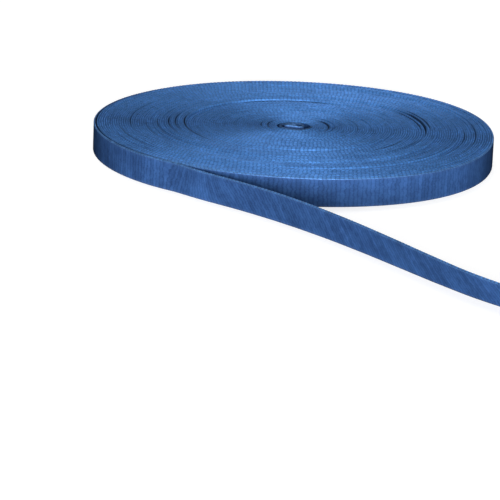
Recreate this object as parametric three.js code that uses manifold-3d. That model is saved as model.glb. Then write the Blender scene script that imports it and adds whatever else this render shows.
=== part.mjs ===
// Roll of nylon webbing: one long woven strip wound on edge into a flat coil, with its outer end running off over
// the surface that the coil lies on. Units are millimetres and +Z is up. The origin is on the coil's axis, at the
// height of that surface. Plan angles are in degrees from +X towards +Y, the way the strip winds outwards.
import * as THREE from "three";
import { mergeVertices } from "three/addons/utils/BufferGeometryUtils.js";
import Module from "manifold-3d";

const wasm = await Module();
wasm.setup();

const radians = THREE.MathUtils.degToRad;

// The woven strip, and the bevel that stands for its rounded selvedges
const STRIP_WIDTH = 25;
const STRIP_THICKNESS = 2;
const SELVEDGE_BEVEL = 0.45;
const CLEARANCE = 0.3;

// The coil: turns lie in bands that stand a little higher or lower than their neighbours
const TURN_PITCH = 2.02;
const TURNS_PER_BAND = 5;
const BAND_WIDTH = TURN_PITCH * TURNS_PER_BAND;
const BAND_GROOVE_DEPTH = 0.6;
const BAND_SHOULDER = 1.1;
const COIL_FACETS = 72;

// One row for each band, from the eye outwards: its mean rise, and the tilt that lifts it most at one angle
const BANDS = [
  { rise: 0.3, tilt: 0.2, liftedAt: 70 },
  { rise: 0.1, tilt: 0.1, liftedAt: 200 },
  { rise: 0.3, tilt: 0.2, liftedAt: 320 },
  { rise: 0.1, tilt: 0.1, liftedAt: 40 },
  { rise: 0.2, tilt: 0.2, liftedAt: 250 },
  { rise: 0.1, tilt: 0.1, liftedAt: 150 },
  { rise: 0.5, tilt: 0.4, liftedAt: 280 },
  { rise: 0.1, tilt: 0.1, liftedAt: 350 },
  { rise: 0.8, tilt: 0.5, liftedAt: 140 },
  { rise: 0.6, tilt: 0.6, liftedAt: 200 },
  { rise: 0.9, tilt: 0.3, liftedAt: 20 },
  { rise: 0.4, tilt: 0.3, liftedAt: 120 },
  { rise: 0.6, tilt: 0.3, liftedAt: 330 },
  { rise: 0.3, tilt: 0.2, liftedAt: 180 },
  { rise: 0.5, tilt: 0.3, liftedAt: 60 },
  { rise: 0.2, tilt: 0.2, liftedAt: 300 },
];

// The eye, whose outline is the spiral of the first wound turn's inner face
const EYE_RADIUS = 15.6;
const EYE_START_RADIUS = 14.6;
const EYE_POINTS = 36;
const CORE_BORE_RADIUS = 12;

// The coil's radius to the turn before the last, and how far out of round its outline is
const COIL_RADIUS = EYE_RADIUS + BAND_WIDTH * BANDS.length;
const OUT_OF_ROUND = [
  { waves: 1, cosine: 2.5, sine: -1.3 },
  { waves: 2, cosine: 0.3, sine: 0.2 },
  { waves: 3, cosine: -1.7, sine: 0.1 },
  { waves: 4, cosine: -0.8, sine: 0.1 },
  { waves: 5, cosine: -0.4, sine: 0.1 },
];

// The last turn starts just inside the coil's wall and ends a full strip outside it, where the strip leaves
const LEAVING_ANGLE = 232.3;
const LAST_TURN_START_INSET = 0.4;
const LAST_TURN_END_STEP = STRIP_THICKNESS + CLEARANCE;

// The strip's start, folded flat on itself in the eye, and the loose first turn from there to the wound turns
const FOLD_HALF_LENGTH = 5.4;
const FOLD_HALF_DEPTH = 2.5;
const FOLD_BEVEL = 0.4;
const FIRST_TURN = [
  { angle: -30, radius: 3.2 },
  { angle: -6, radius: 7.2 },
  { angle: 30, radius: 8.9 },
  { angle: 70, radius: 9.9 },
  { angle: 120, radius: 11.1 },
  { angle: 170, radius: 12.3 },
  { angle: 220, radius: 13.0 },
  { angle: 270, radius: 13.5 },
  { angle: 315, radius: 14.5 },
  { angle: 360, radius: 15.7 },
  { angle: 378, radius: 16.4 },
];

// The loose end first runs straight on from the last turn, and then along this middle line on the surface, leaning
// outwards by so many degrees
const STRAIGHT_RUN = 15;
const LOOSE_END = [
  { x: -75.7, y: -169.2, lean: 2.5 },
  { x: -41.2, y: -197.7, lean: 3.5 },
  { x: -7.4, y: -229.4, lean: 5.5 },
  { x: 25.6, y: -265.0, lean: 8.5 },
  { x: 57.5, y: -303.9, lean: 12 },
  { x: 88.3, y: -344.4, lean: 16 },
  { x: 118.1, y: -383.8, lean: 20.5 },
  { x: 147.0, y: -418.6, lean: 25.5 },
  { x: 197.0, y: -467.0, lean: 32 },
];
const LOOSE_END_STEPS = 72;

const NYLON_BLUE = 0x33629f;
const NYLON_ROUGHNESS = 0.72;

// Returns the point at a plan angle in degrees and a radius.
function planPoint(angle, radius) {
  return new THREE.Vector3(radius * Math.cos(radians(angle)), radius * Math.sin(radians(angle)), 0);
}

// Returns how far the coil's outline lies outside a true circle at an angle in radians.
function outOfRound(angle) {
  return OUT_OF_ROUND.reduce(
    (sum, row) => sum + row.cosine * Math.cos(row.waves * angle) + row.sine * Math.sin(row.waves * angle),
    0,
  );
}

// Returns the strip's section: x across its thickness, y up its width, all four corners bevelled.
function stripSection() {
  const half = STRIP_THICKNESS / 2;
  const inner = half - SELVEDGE_BEVEL;
  const outline = [
    [-inner, 0],
    [inner, 0],
    [half, SELVEDGE_BEVEL],
    [half, STRIP_WIDTH - SELVEDGE_BEVEL],
    [inner, STRIP_WIDTH],
    [-inner, STRIP_WIDTH],
    [-half, STRIP_WIDTH - SELVEDGE_BEVEL],
    [-half, SELVEDGE_BEVEL],
  ];
  return outline.map(([x, y]) => new THREE.Vector2(x, y));
}

// Returns the strip stood on edge along a plan curve. leanAt gives its outward lean in degrees for 0 to 1 along it.
function stripAlong(curve, leanAt, steps) {
  const section = stripSection();
  const shape = new THREE.Shape(section);
  const geometry = new THREE.ExtrudeGeometry(shape, { depth: 1, steps, bevelEnabled: false });
  const position = geometry.attributes.position;
  for (let i = 0; i < position.count; i += 1) {
    const along = THREE.MathUtils.clamp(position.getZ(i), 0, 1);
    const place = curve.getPoint(along);
    const travel = curve.getTangent(along);
    const lean = radians(leanAt(along));
    const lowest = Math.min(...section.map((corner) => corner.x * Math.sin(lean) + corner.y * Math.cos(lean)));
    const across = position.getX(i);
    const up = position.getY(i);
    const aside = across * Math.cos(lean) - up * Math.sin(lean);
    const x = place.x - travel.y * aside;
    const y = place.y + travel.x * aside;
    const z = across * Math.sin(lean) + up * Math.cos(lean) - lowest;
    position.setXYZ(i, x, y, z);
  }
  return geometry;
}

// Returns a closed mesh as a solid for joining and cutting.
function solidOf(geometry) {
  const bare = geometry.clone();
  bare.deleteAttribute("normal");
  bare.deleteAttribute("uv");
  const merged = mergeVertices(bare);
  return new wasm.Manifold(
    new wasm.Mesh({
      numProp: 3,
      vertProperties: new Float32Array(merged.attributes.position.array),
      triVerts: new Uint32Array(merged.index.array),
    }),
  );
}

// Returns a solid's surface as a geometry.
function geometryOf(solid) {
  const mesh = solid.getMesh();
  const geometry = new THREE.BufferGeometry();
  geometry.setAttribute("position", new THREE.BufferAttribute(new Float32Array(mesh.vertProperties), 3));
  geometry.setIndex(new THREE.BufferAttribute(new Uint32Array(mesh.triVerts), 1));
  geometry.computeVertexNormals();
  return geometry;
}

// Returns how high the band at a radius stands above the strip's width at an angle in radians.
function bandRise(radius, angle) {
  const index = THREE.MathUtils.clamp(Math.floor((radius - EYE_RADIUS) / BAND_WIDTH), 0, BANDS.length - 1);
  const band = BANDS[index];
  return band.rise + band.tilt * Math.cos(angle - radians(band.liftedAt));
}

// Returns the wound turns as a thick ring: flat below, and above a flat crown with a groove beside each band.
function coreGeometry() {
  const wallLow = SELVEDGE_BEVEL;
  const wallHigh = STRIP_WIDTH - SELVEDGE_BEVEL;
  const grooveHeight = STRIP_WIDTH - BAND_GROOVE_DEPTH;
  const profile = [
    new THREE.Vector2(CORE_BORE_RADIUS, 0),
    new THREE.Vector2(COIL_RADIUS - SELVEDGE_BEVEL, 0),
    new THREE.Vector2(COIL_RADIUS, wallLow),
    new THREE.Vector2(COIL_RADIUS, wallHigh),
  ];
  for (let band = BANDS.length - 1; band >= 0; band -= 1) {
    const inner = EYE_RADIUS + band * BAND_WIDTH;
    const outerShoulder = band === BANDS.length - 1 ? SELVEDGE_BEVEL : BAND_SHOULDER;
    profile.push(new THREE.Vector2(inner + BAND_WIDTH - outerShoulder, STRIP_WIDTH));
    profile.push(new THREE.Vector2(inner + BAND_SHOULDER, STRIP_WIDTH));
    profile.push(new THREE.Vector2(inner, grooveHeight));
  }
  profile.push(new THREE.Vector2(CORE_BORE_RADIUS, grooveHeight));
  profile.push(new THREE.Vector2(CORE_BORE_RADIUS, 0));
  const geometry = new THREE.LatheGeometry(profile, COIL_FACETS);
  geometry.rotateX(Math.PI / 2);
  const position = geometry.attributes.position;
  for (let i = 0; i < position.count; i += 1) {
    const x = position.getX(i);
    const y = position.getY(i);
    const z = position.getZ(i);
    const radius = Math.hypot(x, y);
    const angle = Math.atan2(y, x);
    const moved = radius + outOfRound(angle) * (radius / COIL_RADIUS) ** 2;
    const raised = z > STRIP_WIDTH - SELVEDGE_BEVEL / 2 ? z + bandRise(radius, angle) : z;
    position.setXYZ(i, moved * Math.cos(angle), moved * Math.sin(angle), raised);
  }
  return geometry;
}

// Returns the space of the eye, whose outline steps in by one strip where the first turn meets the wound ones.
function eyeGeometry() {
  const outline = [];
  for (let i = 0; i < EYE_POINTS; i += 1) {
    const turned = i / (EYE_POINTS - 1);
    const radius = EYE_START_RADIUS + TURN_PITCH * turned;
    const point = planPoint(turned * 359, radius);
    outline.push(new THREE.Vector2(point.x, point.y));
  }
  const depth = 2 * STRIP_WIDTH;
  const geometry = new THREE.ExtrudeGeometry(new THREE.Shape(outline), { depth, bevelEnabled: false });
  geometry.translate(0, 0, -STRIP_WIDTH / 2);
  return geometry;
}

// Returns the start of the strip, folded on itself and pressed flat, standing on the surface in the eye.
function foldedStartGeometry() {
  const straight = FOLD_HALF_LENGTH - FOLD_HALF_DEPTH;
  const outline = new THREE.Shape();
  outline.absarc(straight, 0, FOLD_HALF_DEPTH - FOLD_BEVEL, -Math.PI / 2, Math.PI / 2);
  outline.absarc(-straight, 0, FOLD_HALF_DEPTH - FOLD_BEVEL, Math.PI / 2, (3 * Math.PI) / 2);
  const geometry = new THREE.ExtrudeGeometry(outline, {
    depth: STRIP_WIDTH - 2 * FOLD_BEVEL,
    curveSegments: 8,
    bevelThickness: FOLD_BEVEL,
    bevelSize: FOLD_BEVEL,
    bevelSegments: 1,
  });
  geometry.translate(0, 0, FOLD_BEVEL);
  return geometry;
}

// Returns the last turn's middle line, growing out of the coil's wall until it is a full strip outside it.
function lastTurnCurve() {
  const points = [];
  for (let i = 0; i <= COIL_FACETS; i += 1) {
    const turned = i / COIL_FACETS;
    const angle = LEAVING_ANGLE + 360 * turned;
    const outside = THREE.MathUtils.lerp(-LAST_TURN_START_INSET, LAST_TURN_END_STEP, turned);
    const radius = COIL_RADIUS + outOfRound(radians(angle)) + outside - STRIP_THICKNESS / 2;
    points.push(planPoint(angle, radius));
  }
  return new THREE.CatmullRomCurve3(points);
}

// Returns the loose first turn round the folded start.
function firstTurnGeometry() {
  const points = FIRST_TURN.map((row) => planPoint(row.angle, row.radius));
  const steps = 3 * FIRST_TURN.length;
  return stripAlong(new THREE.CatmullRomCurve3(points), () => 0, steps);
}

// Returns the coil with its eye cut through and its first and last turns joined on.
function woundRollGeometry() {
  const coil = solidOf(coreGeometry())
    .subtract(solidOf(eyeGeometry()))
    .add(solidOf(stripAlong(lastTurnCurve(), () => 0, COIL_FACETS)))
    .add(solidOf(firstTurnGeometry()))
    .add(solidOf(foldedStartGeometry()));
  return geometryOf(coil);
}

// Returns the loose end, which starts against the last turn's end and leans further out the further it runs.
function looseEndGeometry() {
  const lastTurn = lastTurnCurve();
  const end = lastTurn.getPoint(1);
  const travel = lastTurn.getTangent(1);
  const points = [
    end.clone().addScaledVector(travel, CLEARANCE),
    end.clone().addScaledVector(travel, STRAIGHT_RUN),
    ...LOOSE_END.map((row) => new THREE.Vector3(row.x, row.y, 0)),
  ];
  const leans = [0, 0, ...LOOSE_END.map((row) => row.lean)];
  const leanAt = (along) => {
    const scaled = along * (leans.length - 1);
    const row = Math.min(Math.floor(scaled), leans.length - 2);
    return THREE.MathUtils.lerp(leans[row], leans[row + 1], scaled - row);
  };
  return stripAlong(new THREE.CatmullRomCurve3(points), leanAt, LOOSE_END_STEPS);
}

// Returns a named mesh in dyed nylon.
function nylonMesh(name, geometry) {
  const material = new THREE.MeshStandardMaterial({
    color: NYLON_BLUE,
    roughness: NYLON_ROUGHNESS,
    metalness: 0,
  });
  const mesh = new THREE.Mesh(geometry, material);
  mesh.name = name;
  return mesh;
}

const roll = new THREE.Group();
roll.add(nylonMesh("wound_roll", woundRollGeometry()));
roll.add(nylonMesh("loose_end", looseEndGeometry()));

export default roll;
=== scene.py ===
"""Roll of nylon webbing: one long woven strip wound on edge into a flat coil, with its outer end running off.

Shapes are worked out in millimetres and go into the meshes in metres. The origin is on the coil's axis, at
the height of the surface. Plan angles run from +X towards +Y, the way the strip winds outwards, and a place
along the wound strip is its number of turns from the first wound one.
"""

import logging
import math
from dataclasses import dataclass, field
from enum import Enum
from typing import NamedTuple

import bpy
import numpy as np
from mathutils import Matrix, Vector


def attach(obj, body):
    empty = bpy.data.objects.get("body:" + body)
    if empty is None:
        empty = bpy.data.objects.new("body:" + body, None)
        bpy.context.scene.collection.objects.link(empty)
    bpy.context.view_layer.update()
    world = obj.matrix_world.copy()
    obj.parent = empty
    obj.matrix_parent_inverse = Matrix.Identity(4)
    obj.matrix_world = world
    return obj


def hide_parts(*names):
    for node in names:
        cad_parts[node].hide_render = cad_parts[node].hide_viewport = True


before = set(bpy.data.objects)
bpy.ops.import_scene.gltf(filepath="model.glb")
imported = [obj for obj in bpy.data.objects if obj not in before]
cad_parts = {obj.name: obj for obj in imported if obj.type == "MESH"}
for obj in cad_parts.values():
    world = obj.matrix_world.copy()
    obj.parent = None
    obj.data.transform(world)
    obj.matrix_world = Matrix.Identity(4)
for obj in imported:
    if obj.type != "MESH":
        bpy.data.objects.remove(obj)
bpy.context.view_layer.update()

Array = np.ndarray
Pair = tuple[float, float]
Triple = tuple[float, float, float]
# Rows of a place and a value
Table = tuple[Pair, ...]
# Rows of an amplitude, a frequency and a phase as a share of a turn
WaveRows = tuple[Triple, ...]
log = logging.getLogger("webbing_roll")

MM = 0.001
FULL_TURN = 2.0 * math.pi
BODY = "root"


class Finish(Enum):
    """The two surfaces of the strip, by their material slot on each piece."""

    SELVEDGE = 0
    FACE = 1


class BandLevel(NamedTuple):
    """How a band of turns stands: rise and tilt in mm, and where the tilt lifts most, in degrees."""

    rise: float
    tilt: float
    lifted_at: float


class Parting(NamedTuple):
    """A place where two neighbouring turns stand apart.

    It has a radius in mm, a middle and half span in degrees, how far it opens from 0 to 1, and how much
    higher the outer turn stands in mm.
    """

    radius: float
    middle: float
    half_span: float
    opening: float
    lift: float


class RoutePoint(NamedTuple):
    """A point of the loose end's middle line in mm, and its outward lean there in degrees."""

    x: float
    y: float
    lean: float


@dataclass(frozen=True)
class Webbing:
    """Sizes of the woven strip in millimetres, and how uneven its loops and ribs are along it."""

    width: float = 25.0
    thickness: float = 2.0
    selvedge_drop: float = 0.85
    loop: float = 3.75
    loop_height: float = 0.14
    rib_height: float = 0.035
    uneven_loops: WaveRows = ((0.22, 1 / 61.0, 0.1), (0.16, 1 / 23.7, 0.4), (0.12, 1 / 9.1, 0.7))
    uneven_ribs: WaveRows = ((0.3, 1 / 47.0, 0.3), (0.2, 1 / 17.3, 0.8))


WEBBING = Webbing()


def smooth_step(value: Array) -> Array:
    """Ease from 0 to 1: three times the square less twice the cube of the value held between 0 and 1.

    Args:
        value: any numbers.

    Returns:
        The eased numbers.
    """
    held = np.clip(value, 0.0, 1.0)
    return held * held * (3.0 - 2.0 * held)


def waves(place: Array, rows: WaveRows) -> Array:
    """Sum of sines, each row giving an amplitude, a frequency and a phase as a share of a turn.

    Args:
        place: where the sum is taken.
        rows: amplitude, frequency and phase of each sine.

    Returns:
        The sum at each place.
    """
    total = np.zeros_like(place, dtype=float)
    for amplitude, frequency, phase in rows:
        total += amplitude * np.sin(FULL_TURN * (frequency * place + phase))
    return total


def read_off(table: Table, place: Array) -> Array:
    """Read a table of places and values at any places, straight between its rows and held past its ends.

    Args:
        table: a place and its value in each row, in rising order.
        place: where it is read.

    Returns:
        The values there.
    """
    places, values = np.array(table).T
    return np.interp(place, places, values)


def loop_relief(along: Array) -> Array:
    """Height of the weft loops on a selvedge: one sine wave for each loop, uneven by slow waves of its own.

    Args:
        along: places along the strip, in mm.

    Returns:
        Heights in mm, from about minus to plus one loop height.
    """
    uneven = 1.0 + waves(along, WEBBING.uneven_loops)
    return WEBBING.loop_height * uneven * np.sin(FULL_TURN * along / WEBBING.loop)


def face_relief(along: Array, up: Array, slant: Array) -> Array:
    """Height of a woven face: a cosine rib for each pair of picks, slanted where the strip is pulled askew.

    Args:
        along: places along the strip, in mm.
        up: places across the strip's width, in mm.
        slant: how far a rib runs back along the strip for each mm of width.

    Returns:
        Heights in mm over the face.
    """
    uneven = 1.0 + waves(along, WEBBING.uneven_ribs)
    return WEBBING.rib_height * uneven * np.cos(FULL_TURN * (along + slant * up) / WEBBING.loop)


def cells(grid: Array) -> Array:
    """Corners of each cell of a grid, in order round it, on a new third axis.

    Args:
        grid: numbers or places, with its rows and columns on the first two axes.

    Returns:
        Four corners for each cell, the first one at the cell's lowest row and column.
    """
    return np.stack([grid[:-1, :-1], grid[:-1, 1:], grid[1:, 1:], grid[1:, :-1]], axis=2)


def linked(name: str, data: bpy.types.ID) -> bpy.types.Object:
    """Make an object from its data, linked to the scene.

    Args:
        name: the object's name.
        data: its mesh, light or camera.

    Returns:
        The object.
    """
    made = bpy.data.objects.new(name, data)
    bpy.context.scene.collection.objects.link(made)
    return made


@dataclass(frozen=True)
class CoilPlan:
    """Where each turn of the coil lies and how high it stands.

    The strip's inner face is at the start radius plus one pitch for each turn, moved outwards by the
    outline's waves times the square of its share of the coil's radius.
    """

    start_radius: float = 14.6
    pitch: float = 2.02
    coil_radius: float = 177.2
    leaving_turn: float = 80.0 + 232.3 / 360.0
    turns_per_band: int = 5
    ease_turns: float = 0.3
    # How far the last turn stands off, as degrees before the place where the strip leaves and mm
    loosened: Table = ((0, 0.7), (15, 0.75), (35, 0.6), (60, 0.45), (90, 0.35), (125, 0.2), (160, 0.0))
    # Waves round the coil, with their cosine and sine in mm
    outline: tuple[tuple[int, float, float], ...] = (
        (1, 2.5, -1.3), (2, 0.3, 0.2), (3, -1.7, 0.1), (4, -0.8, 0.1), (5, -0.4, 0.1),
    )
    # From the eye outwards
    bands: tuple[BandLevel, ...] = tuple(BandLevel(*row) for row in (
        (0.3, 0.2, 70), (0.1, 0.1, 200), (0.3, 0.2, 320),
        (0.1, 0.1, 40), (0.2, 0.2, 250), (0.1, 0.1, 150),
        (0.5, 0.4, 280), (0.1, 0.1, 350), (0.8, 0.5, 140),
        (0.6, 0.6, 200), (0.9, 0.3, 20), (0.4, 0.3, 120),
        (0.6, 0.3, 330), (0.3, 0.2, 180), (0.5, 0.3, 60),
        (0.2, 0.2, 300),
    ))
    # How steeply a parting opens from the ends of its span
    parting_ease: float = 1.6
    # How many turns outwards of a parting its lift is felt, and by what share; the turn inside it is lowered
    lift_shares: tuple[tuple[int, float], ...] = ((0, 1.0), (1, 0.55), (2, 0.25), (-1, -0.35))
    # How unevenly the turns stand, with amplitudes in mm
    unevenness: WaveRows = (
        (0.15, 0.3719, 0.1), (0.14, 0.6131, 0.6), (0.12, 1.4327, 0.3), (0.08, 2.7183, 0.8),
    )
    partings: tuple[Parting, ...] = tuple(Parting(*row) for row in (
        (93.4, 96, 37, 1.0, 0.8), (97.8, 194, 38, 0.9, 0.4), (107, 184, 24, 0.6, 0.25),
        (113, 190, 22, 0.7, 0.25), (123, 200, 26, 0.6, 0.25), (113, 22, 24, 0.9, 0.4),
        (117, 16, 26, 1.0, 0.3), (121, 20, 22, 0.8, 0.3), (102, 327, 18, 0.8, 0.3),
        (113, 328, 20, 0.8, 0.3), (80, 280, 20, 0.5, 0.3), (139, 300, 16, 0.4, 0.2),
        (151, 345, 24, 0.5, 0.3), (162, 352, 30, 0.5, 0.2), (146, 170, 26, 0.5, 0.2),
        (66, 150, 30, 0.4, 0.2), (58, 20, 30, 0.4, 0.2), (133, 196, 16, 0.5, 0.2),
        (157, 205, 20, 0.6, 0.2), (166, 212, 16, 0.6, 0.3), (31.5, 8, 56, 1.0, 0.5),
        (24.5, 172, 44, 0.8, 0.4), (29, 184, 36, 0.7, 0.3), (36, 330, 24, 0.6, 0.3),
    ))

    def out_of_round(self, angle: Array) -> Array:
        """How far the coil's outline lies outside a true circle at angles in radians, in mm."""
        return sum(cosine * np.cos(times * angle) + sine * np.sin(times * angle)
                   for times, cosine, sine in self.outline)

    def point(self, turned: Array, across: Array) -> Array:
        """Plan points of the wound strip.

        Args:
            turned: places along the strip, in turns.
            across: places through its thickness, from 0 at the inner face to 1 at the outer one.

        Returns:
            Points in mm, with x and y on the last axis.
        """
        angle = FULL_TURN * turned
        radius = self.start_radius + self.pitch * (turned + across)
        radius = radius + self.out_of_round(angle) * (radius / self.coil_radius) ** 2
        return np.stack([radius * np.cos(angle), radius * np.sin(angle)], axis=-1)

    def band_level(self, band: Array, angle: Array) -> Array:
        """Rise of bands in mm at angles in radians: the mean rise plus the tilt's cosine."""
        levels = np.array(self.bands)[np.clip(band, 0, len(self.bands) - 1).astype(int)]
        return levels[..., 0] + levels[..., 1] * np.cos(angle - np.radians(levels[..., 2]))

    def parted(self, turned: Array, trait: str) -> Array:
        """Sum of one trait of the partings, each within its own eased span along the strip.

        Args:
            turned: places along the strip, in turns.
            trait: which number of a parting is added up.

        Returns:
            The sum at each place.
        """
        total = np.zeros_like(turned)
        for parting in self.partings:
            share = parting.middle / 360.0
            middle = round((parting.radius - self.start_radius) / self.pitch - share) + share
            distance = np.abs(turned - middle) * 360.0 / parting.half_span
            total += getattr(parting, trait) * smooth_step(self.parting_ease * (1.0 - distance))
        return total

    def opening(self, turned: Array) -> Array:
        """How far the groove at the strip's inner edge stands open, from 0 to 1."""
        return self.parted(turned, "opening")

    def stands_off(self, turned: Array) -> Array:
        """How far the last turn stands off the coil in mm, at places in turns; all the others lie close."""
        on_last_turn = turned > self.leaving_turn - 1.0
        return on_last_turn * read_off(self.loosened, (self.leaving_turn - turned) * 360.0)

    def rise(self, turned: Array) -> Array:
        """Height of the strip's upper edge over its width, in mm.

        It is the band's level, eased from the last band's over the start of a band's first turn, plus waves
        from turn to turn, plus each parting's lift, which falls off over the next two turns and lowers the
        turn inside it.

        Args:
            turned: places along the strip, in turns.

        Returns:
            The rises in mm.
        """
        turned = np.maximum(turned, 0.0)
        band = np.floor(turned / self.turns_per_band)
        angle = FULL_TURN * turned
        eased = smooth_step((turned - band * self.turns_per_band) / self.ease_turns)
        level = (1.0 - eased) * self.band_level(band - 1, angle) + eased * self.band_level(band, angle)
        lift = sum(share * self.parted(turned - outward, "lift") for outward, share in self.lift_shares)
        return level + waves(turned, self.unevenness) + lift


COIL = CoilPlan()


class SurfaceMesh:
    """Gathers the points and faces of one piece in mm, and makes its object in metres."""

    sharp_angle: float = 75.0

    def __init__(self, name: str) -> None:
        """Start an empty piece with the name that its object gets."""
        self.name = name
        self.points: list[Array] = []
        self.traits: dict[str, list[Array]] = {"shaded": [], "slant": [], "edge_pale": []}
        self.faces: list[tuple[Array, Array, Finish]] = []
        self.count = 0

    def add_points(self, points: Array, **traits: Array) -> Array:
        """Add points whose last axis is x, y and z.

        Args:
            points: places in mm.
            traits: what the finishes read at each point, by attribute name; a trait that is left out is 0.

        Returns:
            The points' numbers, in the shape of the other axes.
        """
        shape = points.shape[:-1]
        numbers = self.count + np.arange(int(np.prod(shape))).reshape(shape)
        self.points.append(points.reshape(-1, 3))
        for name, values in self.traits.items():
            values.append(np.broadcast_to(traits.get(name, 0.0), shape).ravel())
        self.count += numbers.size
        return numbers

    def add_faces(self, corners: Array, plan: Array, finish: Finish) -> None:
        """Add faces that all have as many corners.

        Args:
            corners: point numbers, with a face's corners on the last axis, in order round its outside.
            plan: the corners' places on the woven strip in mm, with the same shape and x and y added.
            finish: which surface of the strip they show.
        """
        sides = corners.shape[-1]
        self.faces.append((corners.reshape(-1, sides), plan.reshape(-1, sides, 2), finish))

    def to_object(self) -> bpy.types.Object:
        """Make the object, smooth but for the edges between faces that turn by more than the sharp angle.

        Returns:
            The object, linked to the scene, with its UV map in metres along and across the strip.
        """
        mesh = bpy.data.meshes.new(self.name)
        points = np.concatenate(self.points) * MM
        sizes = np.concatenate([np.full(len(rounds), rounds.shape[1]) for rounds, _, _ in self.faces])
        slots = np.concatenate([np.full(len(rounds), finish.value) for rounds, _, finish in self.faces])
        corners = np.concatenate([rounds.ravel() for rounds, _, _ in self.faces])
        plan = np.concatenate([places.reshape(-1, 2) for _, places, _ in self.faces]) * MM
        mesh.vertices.add(len(points))
        mesh.vertices.foreach_set("co", points.astype(np.float32).ravel())
        mesh.loops.add(len(corners))
        mesh.loops.foreach_set("vertex_index", corners.astype(np.int32))
        mesh.polygons.add(len(sizes))
        mesh.polygons.foreach_set("loop_start", (np.cumsum(sizes) - sizes).astype(np.int32))
        mesh.polygons.foreach_set("material_index", slots.astype(np.int32))
        mesh.uv_layers.new(name="strip").data.foreach_set("uv", plan.astype(np.float32).ravel())
        for name, values in self.traits.items():
            trait = mesh.attributes.new(name=name, type="FLOAT", domain="POINT")
            trait.data.foreach_set("value", np.concatenate(values).astype(np.float32))
        mesh.update(calc_edges=True)
        mesh.shade_smooth()
        mesh.set_sharp_from_angle(angle=math.radians(self.sharp_angle))
        return linked(self.name, mesh)


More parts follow.
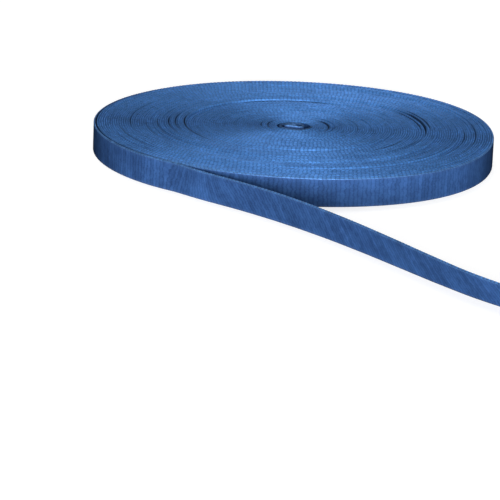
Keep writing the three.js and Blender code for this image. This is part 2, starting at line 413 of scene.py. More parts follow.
@dataclass(frozen=True)
class WoundTurns:
    """A group of bands of wound turns.

    Each band is one closed body: its crowns above, its lower edges below, and the strip's faces at its
    inner and outer turn.
    """

    name: str
    first_band: int
    last_band: int
    # Bands from this one outwards go two to a body
    single_until: int = 8
    columns_per_loop: int = 4
    # How many loops a turn lies behind the one inside it in one quarter of the coil and ahead in the next
    askew: float = 0.28
    # How unevenly the loops of one turn lag behind those of the next, with amplitudes in loops
    uneven_lag: WaveRows = ((0.16, 0.371, 0.1), (0.12, 0.613, 0.6))
    groove_floor: float = 0.5
    # Share of the loops' height at a crown's five points
    loop_shares: tuple[float, ...] = (0.25, 0.7, 1.0, 0.7, 0.25)
    # How far in a crown's shoulders lie, as a share of the thickness, and how much further by an open groove
    shoulder: float = 0.18
    drawn_in: float = 0.17
    open_depth: float = 3.0
    # The grooves' darkness below is painted shade, multiplied into the colour
    # How dark a closed groove is, and how dark an open one makes the shoulder and the crest outside it
    groove_shade: float = 0.3
    shoulder_share: float = 0.92
    crest_share: float = 0.35

    def band_spans(self) -> list[tuple[int, float]]:
        """First turn and number of turns of each body: one band each near the eye, two together further out.

        Returns:
            The spans, from the eye outwards.
        """
        spans = []
        band = self.first_band
        while band < self.last_band:
            together = 1 if band < self.single_until else min(2, self.last_band - band)
            first = band * COIL.turns_per_band
            last = min((band + together) * COIL.turns_per_band, COIL.leaving_turn - 1.0)
            spans.append((first, last - first))
            band += together
        return spans

    def crown_points(self, turned: Array, along: Array) -> Array:
        """Five points across the top of each column: groove, shoulder, crest, shoulder and groove.

        The height falls from the crest by the selvedge's drop times the cube of the distance from the middle.
        A groove lies under the lower of its two turns, and deeper and wider where the turns part.

        Args:
            turned: the columns' places, in turns.
            along: their places on the woven strip, in mm.

        Returns:
            Points in mm, five for each column.
        """
        inner_open, outer_open = COIL.opening(turned), COIL.opening(turned + 1)
        rise = COIL.rise(turned)
        middle = np.full_like(turned, 0.5)
        across = np.stack([
            np.zeros_like(turned),
            self.shoulder + self.drawn_in * inner_open,
            middle,
            1.0 - self.shoulder - self.drawn_in * outer_open,
            np.ones_like(turned),
        ], axis=-1)
        drop = WEBBING.selvedge_drop * np.abs(2.0 * across - 1.0) ** 3
        height = WEBBING.width + rise[:, None] - drop
        for column, beside, opened in ((0, turned - 1, inner_open), (-1, turned + 1, outer_open)):
            lower = np.minimum(rise, COIL.rise(beside))
            height[:, column] = WEBBING.width + lower - drop[:, column] - self.open_depth * opened
        height += loop_relief(along)[:, None] * np.array(self.loop_shares)
        plan = COIL.point(turned[:, None], across)
        return np.concatenate([plan, height[..., None]], axis=-1)

    def crown_shade(self, turned: Array) -> Array:
        """How dark the painted shade is on each of a crown's five points: most in a groove, and more where it
        stands open.

        Args:
            turned: the columns' places, in turns.

        Returns:
            Shades from 0 to 1, five for each column.
        """
        inner = np.minimum(COIL.opening(turned), 1.0)
        outer = np.minimum(COIL.opening(turned + 1) + COIL.stands_off(turned + 1), 1.0)
        closed = self.groove_shade
        inner_groove, outer_groove = (closed + (1.0 - closed) * side for side in (inner, outer))
        inner_shoulder, outer_shoulder = self.shoulder_share * inner, self.shoulder_share * outer
        crest = self.crest_share * inner
        return np.stack([inner_groove, inner_shoulder, crest, outer_shoulder, outer_groove], axis=-1)

    def lower_points(self, turned: Array) -> Array:
        """Three points across the underside of each column: groove, crest on the surface, and groove."""
        across = np.broadcast_to(np.array([0.0, 0.5, 1.0]), (len(turned), 3))
        plan = COIL.point(turned[:, None], across)
        height = np.broadcast_to(np.array([self.groove_floor, 0.0, self.groove_floor]), across.shape)
        return np.concatenate([plan, height[..., None]], axis=-1)

    def welded(self, surface: SurfaceMesh, points: Array, per_turn: int, shade: Array) -> Array:
        """Add a spiral grid in which each turn's outer line is the next turn's inner one.

        Args:
            surface: the piece that gets the points.
            points: grid of columns and places across.
            per_turn: number of columns in a turn.
            shade: how dark each point is.

        Returns:
            Point numbers of the grid, with the shared ones twice.
        """
        inner = surface.add_points(points[:, :-1], shaded=shade[:, :-1])
        last_turn = surface.add_points(points[-per_turn:, -1], shaded=shade[-per_turn:, -1])
        outer = np.concatenate([inner[per_turn:, 0], last_turn])
        return np.column_stack([inner, outer])

    def add_band(self, surface: SurfaceMesh, first: float, turns: float) -> None:
        """Add one closed body of turns.

        Args:
            surface: the piece that gets it.
            first: its first turn.
            turns: how many turns it has.
        """
        middle_radius = COIL.start_radius + COIL.pitch * (first + 0.5 * (turns + 1.0))
        loops = round(FULL_TURN * middle_radius / WEBBING.loop)
        total = round(turns * loops)
        fine = np.arange(total * self.columns_per_loop + 1)
        coarse = fine[:: self.columns_per_loop]
        turned = first + fine / (loops * self.columns_per_loop)
        start = FULL_TURN * (COIL.start_radius * first + 0.5 * COIL.pitch * first ** 2)
        pulled = self.askew * np.sin(2.0 * FULL_TURN * turned) * (turned - first)
        behind = pulled + waves(turned, self.uneven_lag)
        along = start + WEBBING.loop * (fine / self.columns_per_loop - behind)
        crowns = self.crown_points(turned, along)
        top = self.welded(surface, crowns, loops * self.columns_per_loop, self.crown_shade(turned))
        feet = self.lower_points(turned[coarse])
        low = self.welded(surface, feet, loops, np.zeros(feet.shape[:2]))
        self.add_grid(surface, top, along)
        self.add_grid(surface, low[:, ::-1], along[coarse])
        columns, feet_columns = loops * self.columns_per_loop + 1, loops + 1
        self.add_wall(surface, top[:columns, 0], low[:feet_columns, 0], along[:columns], inward=True)
        self.add_wall(surface, top[-columns:, -1], low[-feet_columns:, -1], along[-columns:], inward=False)
        self.add_end(surface, np.concatenate([low[0], top[0, ::-1]]))
        self.add_end(surface, np.concatenate([top[-1], low[-1, ::-1]]))

    def add_grid(self, surface: SurfaceMesh, grid: Array, along: Array) -> None:
        """Add the four-sided faces of a grid, facing up when its places across run outwards.

        Args:
            surface: the piece that gets them.
            grid: point numbers, a row for each column of the spiral.
            along: the rows' places on the woven strip, in mm.
        """
        across = np.linspace(0.0, WEBBING.thickness, grid.shape[1])
        plan = np.stack(np.broadcast_arrays(along[:, None], across[None, :]), axis=-1)
        surface.add_faces(cells(grid), cells(plan), Finish.SELVEDGE)

    def add_wall(self, surface: SurfaceMesh, top: Array, low: Array, along: Array, inward: bool) -> None:
        """Add the strip's face over one turn, from a fine line above to a coarse one below.

        Args:
            surface: the piece that gets it.
            top: numbers of the points above.
            low: numbers of the points below.
            along: places of the points above on the strip, in mm.
            inward: whether the face looks to the eye.
        """
        step = self.columns_per_loop
        upper = np.arange(len(low) - 1)[:, None] * step + np.arange(step, -1, -1)
        corners = np.column_stack([low[:-1], low[1:], top[upper]])
        places = np.column_stack([along[upper[:, -1]], along[upper[:, 0]], along[upper]])
        heights = np.broadcast_to(np.array([0.0, 0.0] + [WEBBING.width] * (step + 1)), places.shape)
        plan = np.stack([places, heights], axis=-1)
        if inward:
            corners, plan = corners[:, ::-1], plan[:, ::-1]
        surface.add_faces(corners, plan, Finish.FACE)

    def add_end(self, surface: SurfaceMesh, corners: Array) -> None:
        """Close a band where its strip goes on into the next one."""
        surface.add_faces(corners[None, :], np.zeros((1, len(corners), 2)), Finish.FACE)

    def build(self) -> bpy.types.Object:
        """Build the group as one object.

        Returns:
            The object.
        """
        surface = SurfaceMesh(self.name)
        for first, turns in self.band_spans():
            self.add_band(surface, first, turns)
        return surface.to_object()


@dataclass
class StripRun:
    """A stretch of strip that stands on its lower edge along a plan line.

    A place in the section is a number across, out to the right of the way it runs, and a number up. With
    the lean, the point lies to the right by across times the lean's cosine plus up times its sine, and as
    high as up times the cosine less across times the sine, less the lowest such height in the section.
    """

    centre: Array
    along: Array
    lean: Array
    rise: Array
    half_thickness: float = 0.5 * WEBBING.thickness
    face_steps: int = 24
    back_steps: int = 3
    # The inner face has ribs where it has more steps than this
    plain_steps: int = 6
    # Points over the crown and under the foot, as shares of half the thickness
    crown_shares: tuple[float, ...] = (0.86, 0.6, 0.3, 0.0, -0.3, -0.6, -0.86)
    foot_shares: tuple[float, ...] = (-0.86, -0.45, 0.0, 0.45, 0.86)
    # The foot's share of the selvedge's drop, and over how many mm the ribs fade out at a face's edges
    foot_drop: float = 0.25
    ribs_fade: float = 1.5
    # How far a rib slants back along the strip for each mm of width
    slant: Array | float = 0.0
    # How dark the painted shade on the inner face's upper half is, and how much painted light lightens the
    # faces and the foot
    shaded: Array | float = 0.0
    painted_light: Array | float = 0.0
    # How dark the painted shade on the crown is at its crest and at its outer shoulder
    crown_shade: Pair = (0.0, 0.0)
    # How strong the painted highlight on the edge yarns is, from 0 to 1, and how wide its band is in mm
    painted_edge_strength: float = 0.25
    edge_band: float = 2.6
    melted_end: bool = False
    # Share of the thickness and of the width near a melted end, by the distance from it in mm
    end_thickness: Table = ((0.0, 0.55), (0.25, 1.0), (0.7, 1.12), (1.4, 1.0))
    end_width: Table = ((0.0, 0.985), (0.3, 1.0))

    def section(self) -> tuple[Array, Array, Array, Array]:
        """The section's outline: up the outer face, over the crown, down the inner face and under the foot.

        Returns:
            Across as a share of half the thickness, up in mm, the share of a face's relief (minus for the
            inner face), and the share of a selvedge's relief.
        """
        crown, foot = np.array(self.crown_shares), np.array(self.foot_shares)
        drop = WEBBING.selvedge_drop
        low, high = self.foot_drop * drop, WEBBING.width - drop
        outer = np.linspace(low, high, self.face_steps + 1)
        inner = np.linspace(high, low, self.back_steps + 1)
        across = np.concatenate([np.ones_like(outer), crown, -np.ones_like(inner), foot])
        over, under = WEBBING.width - drop * np.abs(crown) ** 3, low * np.abs(foot) ** 3
        up = np.concatenate([outer, over, inner, under])
        front, back = (smooth_step(np.minimum(side - low, high - side) / self.ribs_fade)
                       for side in (outer, inner))
        back = -back * (self.back_steps > self.plain_steps)
        face = np.concatenate([front, np.zeros_like(crown), back, np.zeros_like(foot)])
        edge = np.concatenate([np.zeros_like(outer), 1.0 - crown ** 2, np.zeros(len(inner) + len(foot))])
        return across, up, face, edge

    def add_to(self, surface: SurfaceMesh) -> None:
        """Add the stretch as one closed body.

        Args:
            surface: the piece that gets it.
        """
        across, up, face, edge = self.section()
        along = self.along[:, None]
        slant, shaded, painted_light = (np.broadcast_to(trait, self.along.shape)[:, None]
                                    for trait in (self.slant, self.shaded, self.painted_light))
        relief = face_relief(along, up[None, :], slant)
        aside = self.half_thickness * across[None, :] + np.where(face == 0.0, 0.0, face * relief)
        height = up[None, :] * (1.0 + self.rise[:, None] / WEBBING.width) + edge * loop_relief(along)
        middle = 0.5 * WEBBING.width
        if self.melted_end:
            from_end = self.along[-1] - along
            aside = aside * read_off(self.end_thickness, from_end)
            height = middle + (height - middle) * read_off(self.end_width, from_end)
        cosine, sine = np.cos(self.lean)[:, None], np.sin(self.lean)[:, None]
        heading = np.gradient(self.centre, axis=0)
        heading /= np.linalg.norm(heading, axis=1, keepdims=True)
        right = np.column_stack([heading[:, 1], -heading[:, 0]])
        tall = height * cosine - aside * sine
        tall = tall - tall.min(axis=1, keepdims=True)
        plan = self.centre[:, None, :] + right[:, None, :] * (aside * cosine + height * sine)[..., None]
        points = np.concatenate([plan, tall[..., None]], axis=-1)
        inner_side = (up > middle) & (across < 0.0)
        crest, shoulder = self.crown_shade
        crown = (edge > 0.0) * (crest + (shoulder - crest) * np.maximum(across, 0.0))
        # Painted shade in gaps and on crowns, less painted light on the faces and the foot
        dark = np.maximum(shaded * inner_side, crown) - painted_light * (edge == 0.0)
        # Painted highlight on the edge yarns, where the edges catch light
        pale = self.painted_edge_strength * (1.0 - smooth_step(np.minimum(up, WEBBING.width - up) / self.edge_band))
        numbers = surface.add_points(points, slant=slant, shaded=dark, edge_pale=pale)
        self.add_skin(surface, numbers, up)

    def add_skin(self, surface: SurfaceMesh, numbers: Array, up: Array) -> None:
        """Add the faces of the four sides and the two ends, the selvedges in their own finish.

        Args:
            surface: the piece that gets them.
            numbers: point numbers, a row for each section.
            up: how far up a section's points lie on the strip, in mm.
        """
        closed = np.column_stack([numbers, numbers[:, 0]])
        heights = np.append(up, up[0])
        places = np.stack(np.broadcast_arrays(self.along[:, None], heights[None, :]), axis=-1)
        other_way_round = [0, 3, 2, 1]
        rounds, plans = (cells(grid)[:, :, other_way_round] for grid in (closed, places))
        faces = self.face_steps
        crown = faces + len(self.crown_shares) + 1
        back = crown + self.back_steps
        for start, end, finish in (
            (0, faces, Finish.FACE), (faces, crown, Finish.SELVEDGE),
            (crown, back, Finish.FACE), (back, len(up), Finish.SELVEDGE),
        ):
            surface.add_faces(rounds[:, start:end], plans[:, start:end], finish)
        flat = np.zeros((1, len(up), 2))
        surface.add_faces(numbers[None, 0], flat, Finish.FACE)
        surface.add_faces(numbers[None, -1, ::-1], flat, Finish.FACE)

    def build(self, name: str) -> bpy.types.Object:
        """Build the stretch as one object.

        Args:
            name: the name that it gets.

        Returns:
            The object.
        """
        surface = SurfaceMesh(name)
        self.add_to(surface)
        return surface.to_object()


def evenly_spaced(line: Array, step: float, *others: Array) -> tuple[Array, ...]:
    """Walk along a line in even steps.

    Args:
        line: dense plan points in mm.
        step: the step aimed at, in mm.
        others: values at the same points, carried along.

    Returns:
        The distance walked, the new points, and each of the other values there.
    """
    lengths = np.linalg.norm(np.diff(line, axis=0), axis=1)
    walked = np.concatenate([[0.0], np.cumsum(lengths)])
    count = max(2, round(walked[-1] / step)) + 1
    distance = np.linspace(0.0, walked[-1], count)
    points = np.column_stack([np.interp(distance, walked, line[:, axis]) for axis in range(2)])
    return distance, points, *(np.interp(distance, walked, other) for other in others)


def smooth_curve(points: Array, per_span: int = 60) -> tuple[Array, Array]:
    """Centripetal Catmull-Rom curve: cubic spans, with end slopes from the square roots of the distances.

    Args:
        points: plan points in mm.
        per_span: number of steps between two points.

    Returns:
        Dense points, and each one's place counted in spans.
    """
    ends = np.vstack([2 * points[0] - points[1], points, 2 * points[-1] - points[-2]])
    gaps = np.sqrt(np.linalg.norm(np.diff(ends, axis=0), axis=1))[:, None]
    before, start, end, after = ends[:-3], ends[1:-2], ends[2:-1], ends[3:]
    first, middle, last = gaps[:-2], gaps[1:-1], gaps[2:]
    leave = ((start - before) / first - (end - before) / (first + middle) + (end - start) / middle) * middle
    arrive = ((end - start) / middle - (after - start) / (middle + last) + (after - end) / last) * middle
    part = (np.arange(per_span) / per_span)[None, :, None]
    leave, arrive, start, end = (rows[:, None] for rows in (leave, arrive, start, end))
    curve = start + leave * part + (3 * (end - start) - 2 * leave - arrive) * part ** 2
    curve = curve + (2 * (start - end) + leave + arrive) * part ** 3
    dense = np.vstack([curve.reshape(-1, 2), points[-1]])
    return dense, np.arange(len(dense)) / per_span


@dataclass(frozen=True)
class LastTurn:
    """The outermost turn, whose outer face is the wall. Towards its end it stands a little off the coil."""

    name: str = "last_turn"
    step: float = WEBBING.loop / 8
    line_points: int = 3600
    # How dark the painted shade on the inner face is where it stands off the coil by this many mm
    gap_shade: float = 0.8
    gap_width: float = 0.5

    def line(self, first: float) -> tuple[Array, Array]:
        """Dense middle line from a turn to where the strip leaves, and its places in turns."""
        turned = np.linspace(first, COIL.leaving_turn, self.line_points)
        return COIL.point(turned, 0.5 + COIL.stands_off(turned) / COIL.pitch), turned

    def build(self, first: float) -> tuple[bpy.types.Object, float, Array]:
        """Build the turn.

        Args:
            first: the turn at which the wound bodies end.

        Returns:
            The object, the length of the turn in mm, and the last two points of its middle line.
        """
        line, turned = self.line(first)
        along, centre, turned = evenly_spaced(line, self.step, turned)
        # Painted shade in the gap behind the turn and on its crown's outer shoulder
        run = StripRun(
            centre, along, np.zeros_like(along), COIL.rise(turned), half_thickness=0.5 * COIL.pitch,
            shaded=self.gap_shade * smooth_step(COIL.stands_off(turned) / self.gap_width),
            crown_shade=(0.1, 0.5),
        )
        return run.build(self.name), float(along[-1]), line[-2:]


@dataclass(frozen=True)
class LooseEnd:
    """The strip from where it leaves the coil to its cut end, leaning outwards more and more."""

    name: str = "loose_strip"
    step: float = WEBBING.loop / 8
    straight_run: float = 15.0
    rise_fades_over: float = 60.0
    # By the distance from the start in mm: how far the ribs slant back for each mm of width, and how much
    # painted light lightens the strip
    rib_slant: Table = ((0, 0.0), (12, -0.35), (26, -0.35), (70, 0.9), (120, 0.7), (500, 0.5))
    painted_light_by_distance: Table = ((0, 0.0), (150, 0.0), (210, 0.22), (330, 0.22), (400, 0.4), (500, 0.45))
    route: tuple[RoutePoint, ...] = tuple(RoutePoint(*row) for row in (
        (-75.7, -169.2, 2.5), (-41.2, -197.7, 3.5), (-7.4, -229.4, 5.5),
        (25.6, -265.0, 8.5), (57.5, -303.9, 12), (88.3, -344.4, 16),
        (118.1, -383.8, 20.5), (147.0, -418.6, 25.5), (197.0, -467.0, 32),
    ))

    def build(self, along_start: float, ending: Array) -> tuple[bpy.types.Object, float]:
        """Build the loose end, whose weave carries on from the last turn's.

        Args:
            along_start: the place on the strip where it starts, in mm.
            ending: the last points of the last turn's middle line.

        Returns:
            The object, and its length in mm.
        """
        travel = (ending[-1] - ending[-2]) / np.linalg.norm(ending[-1] - ending[-2])
        route = [row[:2] for row in self.route]
        points = np.vstack([ending[-1], ending[-1] + self.straight_run * travel, route])
        leans = np.radians([0.0, 0.0] + [row.lean for row in self.route])
        dense, spans = smooth_curve(points)
        lean = np.interp(spans, np.arange(len(leans)), leans)
        along, centre, lean = evenly_spaced(dense, self.step, lean)
        start_rise = float(COIL.rise(np.array([COIL.leaving_turn]))[0])
        rise = start_rise * (1.0 - smooth_step(along / self.rise_fades_over))
        # Painted light on the strip further out, and painted shade on its crown
        run = StripRun(
            centre, along_start + along, lean, rise, face_steps=20, back_steps=20,
            slant=read_off(self.rib_slant, along), painted_light=read_off(self.painted_light_by_distance, along),
            crown_shade=(0.25, 0.4), melted_end=True,
        )
        return run.build(self.name), float(along[-1])


@dataclass(frozen=True)
class EyeStart:
    """The strip's start, folded on itself in the eye, and the loose turn from there to the wound ones."""

    name: str = "folded_start"
    step: float = WEBBING.loop / 6
    fold_length: float = 26.0
    fold_lift: float = 1.0
    lift_fades_over: float = 12.0
    # How unevenly the strip stands, with amplitudes in mm
    unevenness: WaveRows = ((0.12, 1 / 31.0, 0.2), (0.08, 1 / 12.0, 0.6))
    # Plan points in mm of the fold's two layers and its bend
    fold: Table = (
        (1.1, 1.35), (-1.6, 1.2), (-4.8, 1.2), (-6.8, 1.3), (-7.7, 0.9), (-8.05, 0.0),
        (-7.7, -0.9), (-6.8, -1.3), (-4.8, -1.25), (-2.0, -1.35), (1.6, -1.75),
    )
    # Angle in degrees and radius in mm of the loose turn's middle line
    loose_turn: Table = (
        (-6, 7.2), (30, 8.9), (70, 9.9), (120, 11.1), (170, 12.3), (220, 13.0), (270, 13.5), (315, 14.5),
        (345, 15.25), (360, 15.61),
    )

    def build(self) -> bpy.types.Object:
        """Build the fold and the loose turn as one strip.

        Returns:
            The object.
        """
        angle, radius = np.array(self.loose_turn).T
        angle = np.radians(angle)
        ring = np.column_stack([radius * np.cos(angle), radius * np.sin(angle)])
        dense, _ = smooth_curve(np.vstack([self.fold, ring]))
        along, centre = evenly_spaced(dense, self.step)
        rise = np.full_like(along, float(COIL.rise(np.array([0.0]))[0]))
        rise += self.fold_lift * smooth_step((self.fold_length - along) / self.lift_fades_over)
        rise += waves(along, self.unevenness)
        # Painted shade on the fold and the loose turn, down in the eye
        run = StripRun(
            centre, along - along[-1], np.zeros_like(along), rise, face_steps=10, back_steps=10,
            shaded=0.3, crown_shade=(0.65, 0.65),
        )
        return run.build(self.name)


Socket = bpy.types.NodeSocket


class NodeBench:
    """Adds nodes to one tree and links them."""

    def __init__(self, tree: bpy.types.NodeTree) -> None:
        """Work on a tree."""
        self.tree = tree

    def node(self, kind: str, *values: object, **settings: object) -> bpy.types.Node:
        """Add a node of a kind, with some of its properties set and its first inputs fed in order."""
        made = self.tree.nodes.new(kind)
        for key, value in settings.items():
            setattr(made, key, value)
        for socket, value in zip(made.inputs, values):
            self.feed(socket, value)
        return made

    def feed(self, socket: Socket, value: object) -> None:
        """Link a socket to an output, or set it to a number or colour."""
        if isinstance(value, bpy.types.NodeSocket):
            self.tree.links.new(value, socket)
        else:
            socket.default_value = value

    def feed_all(self, node: bpy.types.Node, values: dict[str, object]) -> None:
        """Feed a node's inputs by their names."""
        for name, value in values.items():
            self.feed(node.inputs[name], value)

    def math(self, operation: str, *values: object) -> Socket:
        """Add a Math node, fed with numbers or outputs, and give its result."""
        return self.node("ShaderNodeMath", *values, operation=operation).outputs[0]

    def spread(self, value: object, low: float, high: float, to_low: float, to_high: float) -> Socket:
        """Map a value from one range to another, smoothly and held at the ends."""
        numbers = (value, low, high, to_low, to_high)
        return self.node("ShaderNodeMapRange", *numbers, interpolation_type="SMOOTHSTEP").outputs[0]

    def noise(self, vector: Socket, scale: float, detail: float = 2.0, roughness: float = 0.5) -> Socket:
        """Add a Noise Texture and give its value."""
        made = self.node("ShaderNodeTexNoise")
        self.feed_all(made, {"Vector": vector, "Scale": scale, "Detail": detail, "Roughness": roughness})
        return made.outputs["Fac"]

    def scaled(self, vector: Socket, scale: Triple) -> Socket:
        """Stretch a vector by a factor on each axis."""
        return self.node("ShaderNodeVectorMath", vector, scale, operation="MULTIPLY").outputs[0]

    def mixed(self, factor: object, first: object, second: object) -> Socket:
        """Mix two colours by a factor."""
        made = self.node("ShaderNodeMix", data_type="RGBA")
        for number, value in ((0, factor), (6, first), (7, second)):
            self.feed(made.inputs[number], value)
        return made.outputs[2]


@dataclass(frozen=True)
class NodeGroups:
    """The node groups that both finishes share."""

    # Share of the dye's variation and scale for each metre: patches over the coil, wide and small
    patches: tuple[Pair, ...] = ((0.25, 30.0), (0.30, 190.0))
    # The same for streaks along the strip and for single yarns, with the scale along and across
    streaks: tuple[Triple, ...] = ((0.30, 16.0, 40.0), (0.15, 260.0, 900.0))
    # The noise between these two is spread from 0 to 1
    dye_range: Pair = (0.38, 0.62)
    filament_detail: float = 4.0
    filament_roughness: float = 0.65

    @staticmethod
    def start(name: str, takes: tuple[tuple[str, str], ...], gives: tuple[str, ...]) -> tuple:
        """Make an empty group.

        Args:
            name: its name.
            takes: name and socket type of each input.
            gives: names of its outputs, all numbers.

        Returns:
            The group, its bench, the inputs inside it and the output node.
        """
        tree = bpy.data.node_groups.new(name, "ShaderNodeTree")
        for label, kind in takes:
            tree.interface.new_socket(name=label, in_out="INPUT", socket_type=kind)
        for label in gives:
            tree.interface.new_socket(name=label, in_out="OUTPUT", socket_type="NodeSocketFloat")
        bench = NodeBench(tree)
        inside = bench.node("NodeGroupInput").outputs
        return tree, bench, inside, bench.node("NodeGroupOutput")

    @classmethod
    def dye_variation(cls) -> bpy.types.NodeTree:
        """How evenly the yarn took the dye: patches, streaks along the strip, and single yarns."""
        takes = (("Strip", "NodeSocketVector"), ("Place", "NodeSocketVector"))
        tree, bench, inside, outside = cls.start("dye_variation", takes, ("Shade",))
        layers = [(share, bench.noise(inside["Place"], scale)) for share, scale in cls.patches]
        for share, along, across in cls.streaks:
            layers.append((share, bench.noise(bench.scaled(inside["Strip"], (along, across, 0.0)), 1.0)))
        total = 0.0
        for share, layer in layers:
            total = bench.math("MULTIPLY_ADD", layer, share, total)
        bench.feed(outside.inputs["Shade"], bench.spread(total, *cls.dye_range, 0.0, 1.0))
        return tree

    @classmethod
    def filament_grain(cls) -> bpy.types.NodeTree:
        """Fine filaments: noise drawn out along one axis of the strip."""
        takes = (("Strip", "NodeSocketVector"),)
        tree, bench, inside, outside = cls.start("filament_grain", takes, ("Grain",))
        grain = bench.noise(inside["Strip"], 1.0, cls.filament_detail, cls.filament_roughness)
        bench.feed(outside.inputs["Grain"], grain)
        return tree


def wave_height(bench: NodeBench, place: Socket, pitch: float, shift: object = 0.0) -> Socket:
    """A rounded bump for each pitch: one less the square of the distance from its middle.

    Args:
        bench: where the nodes go.
        place: a place in metres.
        pitch: the bumps' pitch in metres.
        shift: an offset counted in pitches.

    Returns:
        Heights from 0 between bumps to 1 on them.
    """
    counted = bench.math("ADD", bench.math("DIVIDE", place, pitch), shift)
    centred = bench.math("MULTIPLY_ADD", bench.math("FRACT", counted), 2.0, -1.0)
    return bench.math("SUBTRACT", 1.0, bench.math("POWER", bench.math("ABSOLUTE", centred), 2.0))


class StripPlace(NamedTuple):
    """Where a point lies on the strip, in metres, how slanted it is there, and its painted shade and painted
    edge highlight.
    """

    strip: Socket
    along: Socket
    across: Socket
    slant: Socket
    shaded: Socket
    edge_pale: Socket


@dataclass(frozen=True)
class NylonFinish:
    """One surface of the dyed nylon strip: here the woven face."""

    name: str
    # Where the yarn took least dye and where it took most, and the painted highlight's colour at the strip's
    # edges
    pale: Triple
    deep: Triple
    edge: Triple
    roughness: float
    lustre: float
    gloss: float
    # How much painted shade darkens it between the ribs, at grazing angles and in a groove, and how much each
    # rib differs
    valley: float
    unevenness: float
    groove_dark: float = 0.85
    grazing_dark: float = 0.5
    # How far the ribs wander along the strip in mm, and the wandering's scale for each metre
    wander: float = 5.0
    wander_scale: Triple = (150.0, 260.0, 0.0)
    # Where the ribs start, in ribs, their share of the height, and the pitch of the warp's ends in metres
    rib_shift: float = 0.5
    rib_share: float = 0.8
    warp_pitch: float = 0.00104
    # How closely the filaments lie along and across the strip, for each metre
    filaments: Triple = (500.0, 4200.0, 1.0)
    # How strong the bump is, its height in mm and the filaments' share of it
    bump: float = 0.5
    bump_height: float = 0.12
    filament_bump: float = 0.35
    # Ranges of the facing, of the weave's height and of the filaments, and what the filaments are spread to
    facing_range: Pair = (0.5, 0.95)
    height_range: Pair = (0.05, 0.85)
    colour_range: Pair = (0.3, 0.7)
    colour_spread: Pair = (0.88, 1.1)
    rough_range: Pair = (0.25, 0.75)
    rough_spread: Pair = (-0.06, 0.08)

    def weave(self, bench: NodeBench, place: StripPlace) -> Socket:
        """Height of the yarns: a rib for each loop of the weft, crossed by the warp's ends."""
        ribs = wave_height(bench, self.rib_place(bench, place), WEBBING.loop * MM, self.rib_shift)
        ends = bench.math("MULTIPLY", wave_height(bench, place.across, self.warp_pitch), 1.0 - self.rib_share)
        return bench.math("MULTIPLY_ADD", ribs, self.rib_share, ends)

    def rib_place(self, bench: NodeBench, place: StripPlace) -> Socket:
        """Place along the strip, moved on by the slant for each width and by how unevenly the ribs run."""
        slanted = bench.math("MULTIPLY_ADD", place.slant, place.across, place.along)
        wander = bench.noise(bench.scaled(place.strip, self.wander_scale), 1.0)
        return bench.math("MULTIPLY_ADD", wander, self.wander * MM, slanted)

    def relighted(self, bench: NodeBench, place: StripPlace) -> Socket:
        """Factor on the colour: painted shade at grazing angles, where ribs hide each other, and a little
        different for each rib.
        """
        facing = bench.node("ShaderNodeLayerWeight").outputs["Facing"]
        grazing = bench.spread(facing, *self.facing_range, 1.0, 1.0 - self.grazing_dark)
        return bench.math("MULTIPLY", grazing, self.single_yarn(bench, place))

    def single_yarn(self, bench: NodeBench, place: StripPlace) -> Socket:
        """Factor on the colour of each rib or loop: every one took the dye a little differently."""
        counted = bench.math("DIVIDE", self.rib_place(bench, place), WEBBING.loop * MM)
        chance = bench.node("ShaderNodeTexWhiteNoise", noise_dimensions="1D")
        bench.feed(chance.inputs["W"], bench.math("FLOOR", bench.math("ADD", counted, self.rib_shift)))
        least = 1.0 - 0.5 * self.unevenness
        return bench.math("MULTIPLY_ADD", chance.outputs["Value"], self.unevenness, least)

    def build(self, dye: bpy.types.NodeTree, grain: bpy.types.NodeTree) -> bpy.types.Material:
        """Make the material.

        Args:
            dye: the group for the dye's variation.
            grain: the group for the filaments.

        Returns:
            The material.
        """
        material = bpy.data.materials.new(self.name)
        material.use_nodes = True
        bench = NodeBench(material.node_tree)
        shader = material.node_tree.nodes["Principled BSDF"]
        strip = bench.node("ShaderNodeUVMap", uv_map="strip").outputs[0]
        parts = bench.node("ShaderNodeSeparateXYZ", strip).outputs
        traits = (bench.node("ShaderNodeAttribute", attribute_name=name).outputs["Fac"]
                  for name in ("slant", "shaded", "edge_pale"))
        place = StripPlace(strip, parts[0], parts[1], *traits)
        height = self.weave(bench, place)
        on_coil = bench.node("ShaderNodeTexCoord").outputs["Object"]
        shade = bench.node("ShaderNodeGroup", strip, on_coil, node_tree=dye).outputs[0]
        stretched = bench.scaled(strip, self.filaments)
        grained = bench.node("ShaderNodeGroup", stretched, node_tree=grain).outputs[0]
        yarn = bench.mixed(shade, (*self.deep, 1.0), (*self.pale, 1.0))
        # Painted highlight: the edge yarns mixed towards a paler colour
        yarn = bench.mixed(place.edge_pale, yarn, (*self.edge, 1.0))
        # Painted shade between the ribs, in grooves and gaps and at grazing angles, times the filaments'
        # grain
        factors = (
            bench.spread(height, *self.height_range, 1.0 - self.valley, 1.0),
            bench.spread(grained, *self.colour_range, *self.colour_spread),
            bench.math("MULTIPLY_ADD", place.shaded, -self.groove_dark, 1.0),
            self.relighted(bench, place),
        )
        shadow = factors[0]
        for factor in factors[1:]:
            shadow = bench.math("MULTIPLY", shadow, factor)
        darkened = bench.node("ShaderNodeVectorMath", yarn, operation="SCALE")
        bench.feed(darkened.inputs["Scale"], shadow)
        rough = (self.roughness + change for change in self.rough_spread)
        raised = bench.math("ADD", height, bench.math("MULTIPLY", grained, self.filament_bump))
        bump = bench.node("ShaderNodeBump")
        bench.feed_all(bump, {"Strength": self.bump, "Distance": self.bump_height * MM, "Height": raised})
        bench.feed_all(shader, {
            "Base Color": darkened.outputs[0],
            "Roughness": bench.spread(grained, *self.rough_range, *rough),
            "Normal": bump.outputs[0],
            "Metallic": self.lustre,
            "Specular IOR Level": self.gloss,
        })
        return material


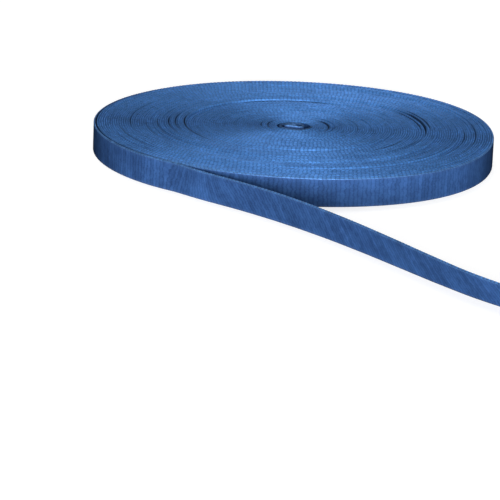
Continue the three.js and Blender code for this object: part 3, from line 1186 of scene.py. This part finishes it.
@dataclass(frozen=True)
class SelvedgeFinish(NylonFinish):
    """The strip's edge, where the weft turns back in a row of loops and its filaments lie across."""

    rib_shift: float = 0.25
    filaments: Triple = (4200.0, 900.0, 1.0)

    def weave(self, bench: NodeBench, place: StripPlace) -> Socket:
        """Height of the yarns: one rounded loop for each two picks, in step with the loops of the mesh."""
        return wave_height(bench, self.rib_place(bench, place), WEBBING.loop * MM, self.rib_shift)

    def relighted(self, bench: NodeBench, place: StripPlace) -> Socket:
        """Factor on the colour: every loop took the dye a little differently."""
        return self.single_yarn(bench, place)


class Lamp(NamedTuple):
    """A soft white sun: its strength, and where it stands and how wide it is, in degrees."""

    name: str
    power: float
    azimuth: float
    elevation: float
    softness: float = 22.0


@dataclass(frozen=True)
class Studio:
    """The floor, the lights and the camera."""

    floor_side: float = 30.0
    floor_white: float = 0.4
    floor_roughness: float = 0.9
    floor_glow: float = 0.75
    dome_strength: float = 0.06
    lamps: tuple[Lamp, ...] = (
        Lamp("front", 7.4, 275.0, 7.0),
        Lamp("front_left", 1.7, 248.0, 8.0),
        Lamp("front_right", 0.6, 320.0, 10.0),
        Lamp("back", 0.75, 90.0, 60.0),
        Lamp("back_left", 0.5, 120.0, 60.0),
    )
    lens: float = 210.0
    sensor: float = 36.0
    distance: float = 2.613
    elevation: float = 14.49
    roll: float = -2.53
    yaw: float = -0.76
    pitch: float = -1.94

    def add_floor(self) -> None:
        """Add a plain pale floor under the coil, which isn't part of the object."""
        half = 0.5 * self.floor_side
        mesh = bpy.data.meshes.new("floor")
        corners = [(-half, -half, 0), (half, -half, 0), (half, half, 0), (-half, half, 0)]
        mesh.from_pydata(corners, [], [(0, 1, 2, 3)])
        floor = linked("floor", mesh)
        material = bpy.data.materials.new("floor_white")
        material.use_nodes = True
        NodeBench(material.node_tree).feed_all(material.node_tree.nodes["Principled BSDF"], {
            "Base Color": (*[self.floor_white] * 3, 1.0),
            "Roughness": self.floor_roughness,
            "Emission Color": (1.0, 1.0, 1.0, 1.0),
            "Emission Strength": self.floor_glow,
        })
        mesh.materials.append(material)
        floor.visible_diffuse = False
        floor.visible_glossy = False

    def add_dome(self) -> None:
        """Fill all round with a weak white dome."""
        world = bpy.data.worlds.new("studio")
        world.use_nodes = True
        bpy.context.scene.world = world
        NodeBench(world.node_tree).feed_all(world.node_tree.nodes["Background"], {
            "Color": (1.0, 1.0, 1.0, 1.0),
            "Strength": self.dome_strength,
        })

    def add_lamps(self) -> None:
        """Add the soft suns."""
        for lamp in self.lamps:
            light = bpy.data.lights.new(lamp.name, "SUN")
            light.energy = lamp.power
            light.angle = math.radians(lamp.softness)
            azimuth, elevation = math.radians(lamp.azimuth), math.radians(lamp.elevation)
            flat = math.cos(elevation)
            towards = Vector((flat * math.cos(azimuth), flat * math.sin(azimuth), math.sin(elevation)))
            linked(lamp.name, light).rotation_euler = towards.to_track_quat("Z", "Y").to_euler()

    @staticmethod
    def turned(first: Vector, second: Vector, degrees: float) -> tuple[Vector, Vector]:
        """Turn two axes within their plane, the first one away from the second.

        Args:
            first: an axis.
            second: another one, square to it.
            degrees: how far they turn.

        Returns:
            The turned axes.
        """
        sine, cosine = math.sin(math.radians(degrees)), math.cos(math.radians(degrees))
        return cosine * first - sine * second, sine * first + cosine * second

    def add_camera(self) -> None:
        """Set the camera: back from the axis at its elevation, then turned by its yaw, pitch and roll."""
        elevation = math.radians(self.elevation)
        back = Vector((0.0, -math.cos(elevation), math.sin(elevation)))
        right = Vector((1.0, 0.0, 0.0))
        up = back.cross(right)
        right, forward = self.turned(right, -back, self.yaw)
        up, forward = self.turned(up, forward, self.pitch)
        right, up = self.turned(right, up, self.roll)
        data = bpy.data.cameras.new("camera")
        data.lens = self.lens
        data.sensor_width = self.sensor
        data.clip_end = 100.0
        camera = linked("camera", data)
        place = self.distance * back
        columns = (right, up, -forward)
        rows = [[*(column[row] for column in columns), place[row]] for row in range(3)]
        camera.matrix_world = Matrix([*rows, [0.0, 0.0, 0.0, 1.0]])
        bpy.context.scene.camera = camera

    def build(self) -> None:
        """Add all of it, with colours shown as they are."""
        self.add_floor()
        self.add_dome()
        self.add_lamps()
        self.add_camera()
        bpy.context.scene.view_settings.view_transform = "Standard"


@dataclass
class WebbingRoll:
    """The whole roll: its pieces, what they are dressed in, and the solids that they stand for."""

    groups: tuple[WoundTurns, ...] = (
        WoundTurns("inner_turns", 0, 9), WoundTurns("middle_turns", 9, 13), WoundTurns("outer_turns", 13, 16),
    )
    # The face is the same dyed nylon set darker than the selvedge, partly for its deeper weave and partly as
    # painted shade on the walls; each edge colour is a painted highlight
    face: NylonFinish = NylonFinish(
        "nylon_face", pale=(0.026, 0.071, 0.198), deep=(0.017, 0.046, 0.134), edge=(0.082, 0.142, 0.29),
        roughness=0.7, lustre=0.0, gloss=0.02, valley=0.3, unevenness=0.25,
    )
    selvedge: SelvedgeFinish = SelvedgeFinish(
        "nylon_selvedge", pale=(0.078, 0.245, 0.620), deep=(0.051, 0.162, 0.425), edge=(0.17, 0.33, 0.62),
        roughness=0.45, lustre=0.55, gloss=0.12, valley=0.4, unevenness=0.3, wander=1.5,
    )
    materials: list[bpy.types.Material] = field(default_factory=list)

    def dress(self, piece: bpy.types.Object, node: str) -> None:
        """Give a piece its finishes and its body, and hide the solid that it stands for.

        Args:
            piece: the finished object.
            node: the solid's name.
        """
        for material in self.materials:
            piece.data.materials.append(material)
        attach(piece, BODY)
        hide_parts(node)
        piece.data.calc_loop_triangles()
        log.info("%s: %d triangles", piece.name, len(piece.data.loop_triangles))

    def build(self) -> None:
        """Build and dress every piece from the eye outwards."""
        dye, grain = NodeGroups.dye_variation(), NodeGroups.filament_grain()
        self.materials = [self.selvedge.build(dye, grain), self.face.build(dye, grain)]
        self.dress(EyeStart().build(), "wound_roll")
        for group in self.groups:
            self.dress(group.build(), "wound_roll")
        last_turn, length, ending = LastTurn().build(COIL.leaving_turn - 1.0)
        self.dress(last_turn, "wound_roll")
        loose, loose_length = LooseEnd().build(length, ending)
        self.dress(loose, "loose_end")
        log.info("the loose end is %.1f mm long", loose_length)


def main() -> None:
    """Build the roll and the studio, and report each piece."""
    logging.basicConfig(level=logging.INFO, format="%(name)s: %(message)s")
    WebbingRoll().build()
    Studio().build()


if __name__ == "__main__":
    main()
